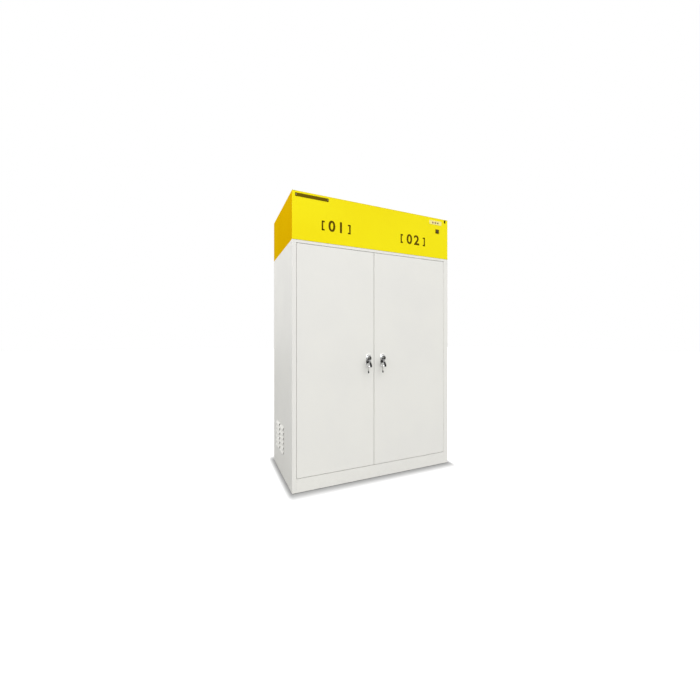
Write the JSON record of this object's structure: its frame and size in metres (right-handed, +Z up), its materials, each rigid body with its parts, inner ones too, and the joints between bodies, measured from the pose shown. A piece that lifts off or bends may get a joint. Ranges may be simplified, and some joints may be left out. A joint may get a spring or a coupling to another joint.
{
  "type": "reagent drawer cabinet",
  "caption": "Tall white steel reagent cabinet with two locking hinged doors, pull-out drawers behind them and a yellow fan and filter cap on top.",
  "frame": {"origin": "on the floor, in the middle of the space that the whole object takes", "axes": "+X to the right along the front, +Y from the doors to the back, +Z up"},
  "size_m": [1.22, 0.646, 1.85],
  "materials": {
    "white_paint": "fine-textured powder coat, warm white",
    "tray_paint": "smooth powder coat, light grey white",
    "yellow_paint": "fine-textured powder coat, signal yellow",
    "zinc_steel": "bright zinc plate",
    "chrome": "polished chrome plate",
    "key_steel": "nickel plate",
    "seal_rubber": "soft black foam rubber",
    "black_plastic": "moulded black plastic",
    "rocker_plastic": "smooth black plastic",
    "grey_plastic": "moulded grey plastic",
    "filter_case": "folded sheet case round dark granules",
    "filter_fleece": "white fleece mat"
  },
  "bodies": {
    "cabinet": {"left_side_panel": "white_paint", "right_side_panel": "white_paint", "back_panel": "white_paint", "base_pan": "white_paint", "plinth_front": "white_paint", "top_rail": "white_paint", "centre_divider": "white_paint", "door_hinge_pins": "zinc_steel", "door_seals": "seal_rubber", "levelling_feet": "black_plastic", "fixed_runners": "zinc_steel", "left_carbon_filter": "filter_case", "right_carbon_filter": "filter_case", "filter_deck": "white_paint", "pre_filter_pads": "filter_fleece", "fan_plate": "zinc_steel", "left_fan_frame": "black_plastic", "right_fan_frame": "black_plastic", "cap_shell": "yellow_paint", "cap_front_panel": "yellow_paint", "cap_lid": "yellow_paint", "switch_bezel": "black_plastic", "control_box": "grey_plastic", "power_inlet": "black_plastic", "cover_screws": "zinc_steel"},
    "left_door": {"left_door_skin": "white_paint", "left_door_liner": "white_paint", "left_lock_plate": "chrome"},
    "left_handle_unit": {"left_handle": "chrome"},
    "left_key_unit": {"left_key": "key_steel"},
    "left_spare_key_unit": {"left_spare_key": "key_steel"},
    "left_upper_rod": {"left_upper_lock_rod": "zinc_steel"},
    "left_lower_rod": {"left_lower_lock_rod": "zinc_steel"},
    "left_drawer_1_unit": {"left_drawer_1": "tray_paint", "left_drawer_1_slides": "zinc_steel"},
    "left_drawer_2_unit": {"left_drawer_2": "tray_paint", "left_drawer_2_slides": "zinc_steel"},
    "left_drawer_3_unit": {"left_drawer_3": "tray_paint", "left_drawer_3_slides": "zinc_steel"},
    "left_drawer_4_unit": {"left_drawer_4": "tray_paint", "left_drawer_4_slides": "zinc_steel"},
    "right_door": {"right_door_skin": "white_paint", "right_door_liner": "white_paint", "right_lock_plate": "chrome"},
    "right_handle_unit": {"right_handle": "chrome"},
    "right_key_unit": {"right_key": "key_steel"},
    "right_spare_key_unit": {"right_spare_key": "key_steel"},
    "right_upper_rod": {"right_upper_lock_rod": "zinc_steel"},
    "right_lower_rod": {"right_lower_lock_rod": "zinc_steel"},
    "right_drawer_1_unit": {"right_drawer_1": "tray_paint", "right_drawer_1_slides": "zinc_steel"},
    "right_drawer_2_unit": {"right_drawer_2": "tray_paint", "right_drawer_2_slides": "zinc_steel"},
    "right_drawer_3_unit": {"right_drawer_3": "tray_paint", "right_drawer_3_slides": "zinc_steel"},
    "right_drawer_4_unit": {"right_drawer_4": "tray_paint", "right_drawer_4_slides": "zinc_steel"},
    "left_rotor": {"left_fan_rotor": "black_plastic"},
    "right_rotor": {"right_fan_rotor": "black_plastic"},
    "rocker_unit": {"switch_rocker": "rocker_plastic"}
  },
  "joints": [
    {"name": "left_door_hinge", "type": "hinge", "parent": "cabinet", "child": "left_door", "pos_m": [-0.5574, -0.273, 0.81], "axis": [0, 0, -1], "range_deg": [0, 125]},
    {"name": "left_handle_turn", "type": "hinge", "parent": "left_door", "child": "left_handle_unit", "pos_m": [-0.08, -0.279, 0.816], "axis": [0, 1, 0], "range_deg": [0, 90]},
    {"name": "left_key_turn", "type": "hinge", "parent": "left_handle_unit", "child": "left_key_unit", "pos_m": [-0.08, -0.294, 0.816], "axis": [0, 1, 0], "range_deg": [0, 90]},
    {"name": "left_spare_key_swing", "type": "hinge", "parent": "left_key_unit", "child": "left_spare_key_unit", "pos_m": [-0.08, -0.31232, 0.816], "axis": [-1, 0, 0], "range_deg": [-6, 75]},
    {"name": "left_upper_rod_slide", "type": "slide", "parent": "left_door", "child": "left_upper_rod", "axis": [0, 0, 1], "range_m": [0, 0.01558]},
    {"name": "left_lower_rod_slide", "type": "slide", "parent": "left_door", "child": "left_lower_rod", "axis": [0, 0, -1], "range_m": [0, 0.01558]},
    {"name": "left_drawer_1_pull", "type": "slide", "parent": "cabinet", "child": "left_drawer_1_unit", "axis": [0, -1, 0], "range_m": [0, 0.34917]},
    {"name": "left_drawer_2_pull", "type": "slide", "parent": "cabinet", "child": "left_drawer_2_unit", "axis": [0, -1, 0], "range_m": [0, 0.34917]},
    {"name": "left_drawer_3_pull", "type": "slide", "parent": "cabinet", "child": "left_drawer_3_unit", "axis": [0, -1, 0], "range_m": [0, 0.34917]},
    {"name": "left_drawer_4_pull", "type": "slide", "parent": "cabinet", "child": "left_drawer_4_unit", "axis": [0, -1, 0], "range_m": [0, 0.34917]},
    {"name": "right_door_hinge", "type": "hinge", "parent": "cabinet", "child": "right_door", "pos_m": [0.5454, -0.273, 0.81], "axis": [0, 0, 1], "range_deg": [0, 125]},
    {"name": "right_handle_turn", "type": "hinge", "parent": "right_door", "child": "right_handle_unit", "pos_m": [0.029, -0.279, 0.816], "axis": [0, -1, 0], "range_deg": [0, 90]},
    {"name": "right_key_turn", "type": "hinge", "parent": "right_handle_unit", "child": "right_key_unit", "pos_m": [0.029, -0.294, 0.816], "axis": [0, 1, 0], "range_deg": [0, 90]},
    {"name": "right_spare_key_swing", "type": "hinge", "parent": "right_key_unit", "child": "right_spare_key_unit", "pos_m": [0.029, -0.31232, 0.816], "axis": [-1, 0, 0], "range_deg": [-6, 75]},
    {"name": "right_upper_rod_slide", "type": "slide", "parent": "right_door", "child": "right_upper_rod", "axis": [0, 0, 1], "range_m": [0, 0.01558]},
    {"name": "right_lower_rod_slide", "type": "slide", "parent": "right_door", "child": "right_lower_rod", "axis": [0, 0, -1], "range_m": [0, 0.01558]},
    {"name": "right_drawer_1_pull", "type": "slide", "parent": "cabinet", "child": "right_drawer_1_unit", "axis": [0, -1, 0], "range_m": [0, 0.34917]},
    {"name": "right_drawer_2_pull", "type": "slide", "parent": "cabinet", "child": "right_drawer_2_unit", "axis": [0, -1, 0], "range_m": [0, 0.34917]},
    {"name": "right_drawer_3_pull", "type": "slide", "parent": "cabinet", "child": "right_drawer_3_unit", "axis": [0, -1, 0], "range_m": [0, 0.34917]},
    {"name": "right_drawer_4_pull", "type": "slide", "parent": "cabinet", "child": "right_drawer_4_unit", "axis": [0, -1, 0], "range_m": [0, 0.34917]},
    {"name": "left_fan_spin", "type": "hinge", "parent": "cabinet", "child": "left_rotor", "pos_m": [-0.288, 0.021, 1.7515], "axis": [0, 0, 1], "continuous": true},
    {"name": "right_fan_spin", "type": "hinge", "parent": "cabinet", "child": "right_rotor", "pos_m": [0.288, 0.021, 1.7515], "axis": [0, 0, 1], "continuous": true},
    {"name": "switch_tilt", "type": "hinge", "parent": "cabinet", "child": "rocker_unit", "pos_m": [0.5, -0.276, 1.751], "axis": [1, 0, 0], "range_deg": [0, 16]}
  ],
  "couplings": [
    {"joint": "left_upper_rod_slide", "follows": "left_handle_turn", "m_per_rad": 0.0099035},
    {"joint": "left_lower_rod_slide", "follows": "left_handle_turn", "m_per_rad": 0.0099035},
    {"joint": "left_drawer_1_pull", "follows": "left_door_hinge", "m_per_rad": 0.16},
    {"joint": "left_drawer_2_pull", "follows": "left_door_hinge", "m_per_rad": 0.16},
    {"joint": "left_drawer_3_pull", "follows": "left_door_hinge", "m_per_rad": 0.16},
    {"joint": "left_drawer_4_pull", "follows": "left_door_hinge", "m_per_rad": 0.16},
    {"joint": "right_upper_rod_slide", "follows": "right_handle_turn", "m_per_rad": 0.0099035},
    {"joint": "right_lower_rod_slide", "follows": "right_handle_turn", "m_per_rad": 0.0099035},
    {"joint": "right_drawer_1_pull", "follows": "right_door_hinge", "m_per_rad": 0.16},
    {"joint": "right_drawer_2_pull", "follows": "right_door_hinge", "m_per_rad": 0.16},
    {"joint": "right_drawer_3_pull", "follows": "right_door_hinge", "m_per_rad": 0.16},
    {"joint": "right_drawer_4_pull", "follows": "right_door_hinge", "m_per_rad": 0.16}
  ]
}
